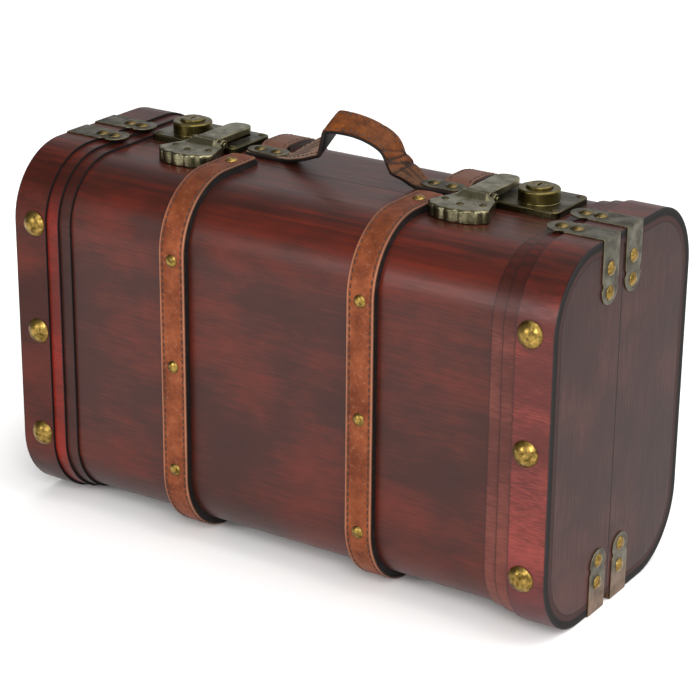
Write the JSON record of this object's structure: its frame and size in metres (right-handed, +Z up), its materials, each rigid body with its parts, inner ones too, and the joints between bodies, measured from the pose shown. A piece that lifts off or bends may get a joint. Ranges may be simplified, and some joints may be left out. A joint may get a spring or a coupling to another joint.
{
  "type": "wooden travel case",
  "caption": "Upright wooden travel case of bent-ply half shells hinged at the base, with banded ends, leather straps, key latches and a leather top handle.",
  "frame": {"origin": "on the floor, under the middle of the case's bounding box", "axes": "+X along the case to the right, +Y from the lid to the rear shell, +Z up to the handle"},
  "size_m": [0.4488, 0.2044, 0.3094],
  "materials": {
    "shell_veneer": "satin stained veneer",
    "end_veneer": "satin stained veneer",
    "band_veneer": "satin stained veneer",
    "stepped_ply": "satin, dark edges",
    "black_backing": "black paint",
    "strap_leather": "worn smooth hide",
    "handle_leather": "worn smooth hide",
    "nail_brass": "antique, mottled",
    "bracket_bronze": "antique bronze",
    "lock_bronze": "antique bronze",
    "screw_brass": "antique brass",
    "hinge_brass": "antique brass",
    "pin_steel": "plain steel"
  },
  "bodies": {
    "rear_case": {"handle_plate_left": "bracket_bronze", "handle_plate_right": "bracket_bronze", "handle_rivets": "nail_brass", "handle_strap": "handle_leather", "hinge_pins": "pin_steel", "lock_case_left": "lock_bronze", "lock_case_right": "lock_bronze", "lock_screws": "screw_brass", "rear_band_base": "stepped_ply", "rear_band_middle": "stepped_ply", "rear_band_nails": "nail_brass", "rear_band_outer_left": "band_veneer", "rear_band_outer_right": "band_veneer", "rear_bracket_bottom_left": "bracket_bronze", "rear_bracket_bottom_right": "bracket_bronze", "rear_bracket_rivets": "nail_brass", "rear_bracket_top_left": "bracket_bronze", "rear_bracket_top_right": "bracket_bronze", "rear_end_panel_left": "end_veneer", "rear_end_panel_right": "end_veneer", "rear_hinge_leaves": "hinge_brass", "rear_hinge_screws": "screw_brass", "rear_skin": "shell_veneer", "rear_strap_backing_left": "black_backing", "rear_strap_backing_right": "black_backing", "rear_strap_left": "strap_leather", "rear_strap_right": "strap_leather", "rear_strap_studs": "nail_brass"},
    "lid": {"hasp_pins": "pin_steel", "hasp_plate_left": "lock_bronze", "hasp_plate_right": "lock_bronze", "hasp_screws": "screw_brass", "lid_band_base": "stepped_ply", "lid_band_middle": "stepped_ply", "lid_band_nails": "nail_brass", "lid_band_outer_left": "band_veneer", "lid_band_outer_right": "band_veneer", "lid_bracket_bottom_left": "bracket_bronze", "lid_bracket_bottom_right": "bracket_bronze", "lid_bracket_rivets": "nail_brass", "lid_bracket_top_left": "bracket_bronze", "lid_bracket_top_right": "bracket_bronze", "lid_end_panel_left": "end_veneer", "lid_end_panel_right": "end_veneer", "lid_hinge_leaves": "hinge_brass", "lid_hinge_screws": "screw_brass", "lid_skin": "shell_veneer", "lid_strap_backing_left": "black_backing", "lid_strap_backing_right": "black_backing", "lid_strap_left": "strap_leather", "lid_strap_right": "strap_leather", "lid_strap_studs": "nail_brass"},
    "hasp_left": {"hasp_lever_left": "lock_bronze"},
    "hasp_right": {"hasp_lever_right": "lock_bronze"},
    "key_plug_left": {"key_plug_left": "lock_bronze"},
    "key_plug_right": {"key_plug_right": "lock_bronze"},
    "lock_bolt_left": {"lock_bolt_left": "pin_steel"},
    "lock_bolt_right": {"lock_bolt_right": "pin_steel"}
  },
  "joints": [
    {"name": "lid_hinge", "type": "hinge", "parent": "rear_case", "child": "lid", "pos_m": [0, -0.005, 0.0041], "axis": [1, 0, 0], "range_deg": [0, 100]},
    {"name": "hasp_lift_left", "type": "hinge", "parent": "lid", "child": "hasp_left", "pos_m": [-0.115, -0.0045, 0.2738], "axis": [1, 0, 0], "range_deg": [0, 90]},
    {"name": "key_turn_left", "type": "hinge", "parent": "rear_case", "child": "key_plug_left", "pos_m": [-0.1475, 0.02, 0.2753], "axis": [0, 0, 1], "range_deg": [0, 90]},
    {"name": "bolt_slide_left", "type": "slide", "parent": "rear_case", "child": "lock_bolt_left", "axis": [1, 0, 0], "range_m": [0, 0.0051]},
    {"name": "hasp_lift_right", "type": "hinge", "parent": "lid", "child": "hasp_right", "pos_m": [0.111, -0.0045, 0.2738], "axis": [1, 0, 0], "range_deg": [0, 90]},
    {"name": "key_turn_right", "type": "hinge", "parent": "rear_case", "child": "key_plug_right", "pos_m": [0.1435, 0.02, 0.2753], "axis": [0, 0, -1], "range_deg": [0, 90]},
    {"name": "bolt_slide_right", "type": "slide", "parent": "rear_case", "child": "lock_bolt_right", "axis": [-1, 0, 0], "range_m": [0, 0.0051]}
  ],
  "couplings": [
    {"joint": "bolt_slide_left", "follows": "key_turn_left", "m_per_rad": 0.0032411},
    {"joint": "bolt_slide_right", "follows": "key_turn_right", "m_per_rad": 0.0032411}
  ]
}
